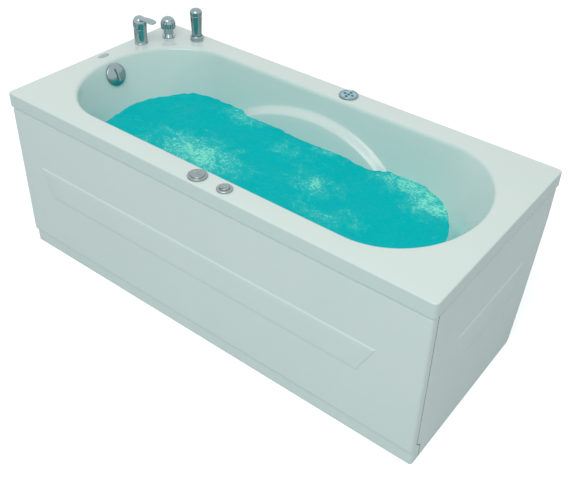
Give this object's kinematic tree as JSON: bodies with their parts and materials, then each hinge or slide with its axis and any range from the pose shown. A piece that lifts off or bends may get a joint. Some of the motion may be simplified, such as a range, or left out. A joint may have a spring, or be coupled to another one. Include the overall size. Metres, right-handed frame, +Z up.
{
  "type": "bathtub",
  "caption": "Rectangular hydro-massage bathtub with a sloped backrest, armrests, apron panels, deck-mounted taps, hand shower, pop-up waste and jet system.",
  "frame": {"origin": "on the floor under the middle of the rim", "axes": "+X along the tub towards the backrest, +Y towards the wall side with the armrest ledge away from the front panel, +Z up"},
  "size_m": [1.5, 0.7, 0.685],
  "materials": {
    "sanitary_acrylic": "glossy glass-reinforced acrylic, greenish white",
    "apron_acrylic": "glossy acrylic sheet, greenish white",
    "chipboard": "raw board",
    "galvanised_steel": "zinc-coated steel tube",
    "zinc_plated_steel": "bright zinc plate",
    "black_plastic": "moulded plastic",
    "black_rubber": "moulded rubber",
    "cable_jacket": "smooth jacket",
    "chromed_brass": "polished chrome plate",
    "chromed_plastic": "polished chrome plate on plastic",
    "brass": "machined",
    "white_pvc": "smooth pipe plastic",
    "braided_hose": "steel braid over rubber",
    "circuit_board": "green solder resist",
    "button_plastic": "dark moulded keys",
    "bezel_plastic": "plated ring round a dark face",
    "box_plastic": "moulded enclosure",
    "motor_paint": "grey paint on cast aluminium",
    "rotor_metal": "machined"
  },
  "bodies": {
    "tub": {"tub_shell": "sanitary_acrylic", "support_boards": "chipboard", "frame_rails": "galvanised_steel", "frame_crossbars": "galvanised_steel", "frame_posts": "galvanised_steel", "foot_studs": "zinc_plated_steel", "foot_nuts": "zinc_plated_steel", "foot_pads": "black_rubber", "front_panel": "apron_acrylic", "end_panel": "apron_acrylic", "panel_brackets": "galvanised_steel", "panel_screws": "zinc_plated_steel", "waste_body": "chromed_plastic", "waste_trap": "white_pvc", "overflow_body": "white_pvc", "overflow_pipe": "white_pvc", "plug_cable": "cable_jacket", "mixer_body": "chromed_brass", "mixer_cartridge": "black_plastic", "deck_nuts": "zinc_plated_steel", "diverter_body": "chromed_brass", "handset_holder": "chromed_brass", "shower_hose": "braided_hose", "mixer_hose": "braided_hose", "filler_hose": "braided_hose", "pad_bezel": "bezel_plastic", "pad_board": "circuit_board", "control_box": "box_plastic", "control_cables": "cable_jacket", "air_valve": "white_pvc", "button_body": "chromed_plastic", "button_tube": "white_pvc", "jet_bodies": "white_pvc", "jet_flanges": "chromed_plastic", "water_manifold": "white_pvc", "air_manifold": "white_pvc", "suction_fitting": "chromed_plastic", "suction_pipe": "white_pvc", "pump_volute": "black_plastic", "motor_casing": "motor_paint"},
    "waste_plug": {"waste_plug": "chromed_brass"},
    "overflow_knob": {"overflow_knob": "chromed_plastic"},
    "mixer_stem": {"mixer_stem": "brass"},
    "mixer_handle": {"mixer_handle": "chromed_brass"},
    "diverter_knob": {"diverter_knob": "chromed_brass"},
    "handset": {"handset": "chromed_plastic"},
    "pad_button_middle": {"pad_button_middle": "button_plastic"},
    "pad_button_left": {"pad_button_left": "button_plastic"},
    "pad_button_right": {"pad_button_right": "button_plastic"},
    "pad_button_front": {"pad_button_front": "button_plastic"},
    "pad_button_back": {"pad_button_back": "button_plastic"},
    "air_knob": {"air_knob": "chromed_plastic"},
    "push_button": {"push_button": "chromed_plastic"},
    "jet_nozzle_1": {"jet_nozzle_1": "chromed_plastic"},
    "jet_nozzle_2": {"jet_nozzle_2": "chromed_plastic"},
    "jet_nozzle_3": {"jet_nozzle_3": "chromed_plastic"},
    "jet_nozzle_4": {"jet_nozzle_4": "chromed_plastic"},
    "jet_nozzle_5": {"jet_nozzle_5": "chromed_plastic"},
    "jet_nozzle_6": {"jet_nozzle_6": "chromed_plastic"},
    "pump_rotor": {"pump_rotor": "rotor_metal"}
  },
  "joints": [
    {"name": "mixer_swivel", "type": "hinge", "parent": "tub", "child": "mixer_stem", "pos_m": [-0.705, 0.163, 0.63], "axis": [0, 0, 1], "range_deg": [-45, 45]},
    {"name": "mixer_lift", "type": "hinge", "parent": "mixer_stem", "child": "mixer_handle", "pos_m": [-0.705, 0.163, 0.63], "axis": [0, -1, 0], "range_deg": [0, 20]},
    {"name": "diverter_turn", "type": "hinge", "parent": "tub", "child": "diverter_knob", "pos_m": [-0.67, 0.26, 0.615], "axis": [0, 0, 1], "range_deg": [0, 90]},
    {"name": "handset_pull", "type": "slide", "parent": "tub", "child": "handset", "axis": [0, 0, 1], "range_m": [0, 0.5], "deforming": ["shower_hose"]},
    {"name": "overflow_turn", "type": "hinge", "parent": "tub", "child": "overflow_knob", "pos_m": [-0.66305, 0, 0.524], "axis": [0.9397, 0, 0.342], "range_deg": [0, 100]},
    {"name": "plug_lift", "type": "slide", "parent": "tub", "child": "waste_plug", "axis": [0, 0, 1], "range_m": [0, 0.01]},
    {"name": "air_turn", "type": "hinge", "parent": "tub", "child": "air_knob", "pos_m": [0.005, -0.3145, 0.57], "axis": [0, 0, 1], "range_deg": [0, 180]},
    {"name": "button_press", "type": "slide", "parent": "tub", "child": "push_button", "axis": [0, 0, -1], "range_m": [0, 0.004], "stiffness_N_per_m": 1500, "springref_m": -0.003},
    {"name": "pad_press_middle", "type": "slide", "parent": "tub", "child": "pad_button_middle", "axis": [0, 0, -1], "range_m": [0, 0.001], "stiffness_N_per_m": 1500, "springref_m": -0.0005},
    {"name": "pad_press_left", "type": "slide", "parent": "tub", "child": "pad_button_left", "axis": [0, 0, -1], "range_m": [0, 0.001], "stiffness_N_per_m": 1500, "springref_m": -0.0005},
    {"name": "pad_press_right", "type": "slide", "parent": "tub", "child": "pad_button_right", "axis": [0, 0, -1], "range_m": [0, 0.001], "stiffness_N_per_m": 1500, "springref_m": -0.0005},
    {"name": "pad_press_front", "type": "slide", "parent": "tub", "child": "pad_button_front", "axis": [0, 0, -1], "range_m": [0, 0.001], "stiffness_N_per_m": 1500, "springref_m": -0.0005},
    {"name": "pad_press_back", "type": "slide", "parent": "tub", "child": "pad_button_back", "axis": [0, 0, -1], "range_m": [0, 0.001], "stiffness_N_per_m": 1500, "springref_m": -0.0005},
    {"name": "nozzle_turn_1", "type": "hinge", "parent": "tub", "child": "jet_nozzle_1", "pos_m": [-0.24, -0.19664, 0.29], "axis": [0, 0.9909, 0.1349], "range_deg": [0, 90]},
    {"name": "nozzle_turn_2", "type": "hinge", "parent": "tub", "child": "jet_nozzle_2", "pos_m": [-0.035, -0.19664, 0.29], "axis": [0, 0.9909, 0.1349], "range_deg": [0, 90]},
    {"name": "nozzle_turn_3", "type": "hinge", "parent": "tub", "child": "jet_nozzle_3", "pos_m": [0.17, -0.19664, 0.29], "axis": [0, 0.9909, 0.1349], "range_deg": [0, 90]},
    {"name": "nozzle_turn_4", "type": "hinge", "parent": "tub", "child": "jet_nozzle_4", "pos_m": [-0.24, 0.19664, 0.29], "axis": [0, -0.9909, 0.1349], "range_deg": [0, 90]},
    {"name": "nozzle_turn_5", "type": "hinge", "parent": "tub", "child": "jet_nozzle_5", "pos_m": [-0.035, 0.19664, 0.29], "axis": [0, -0.9909, 0.1349], "range_deg": [0, 90]},
    {"name": "nozzle_turn_6", "type": "hinge", "parent": "tub", "child": "jet_nozzle_6", "pos_m": [0.17, 0.19664, 0.29], "axis": [0, -0.9909, 0.1349], "range_deg": [0, 90]},
    {"name": "pump_spin", "type": "hinge", "parent": "tub", "child": "pump_rotor", "pos_m": [0.64, 0, 0.2282], "axis": [0, 1, 0], "continuous": true}
  ],
  "couplings": [
    {"joint": "overflow_turn", "follows": "plug_lift", "rad_per_m": 174.5}
  ]
}
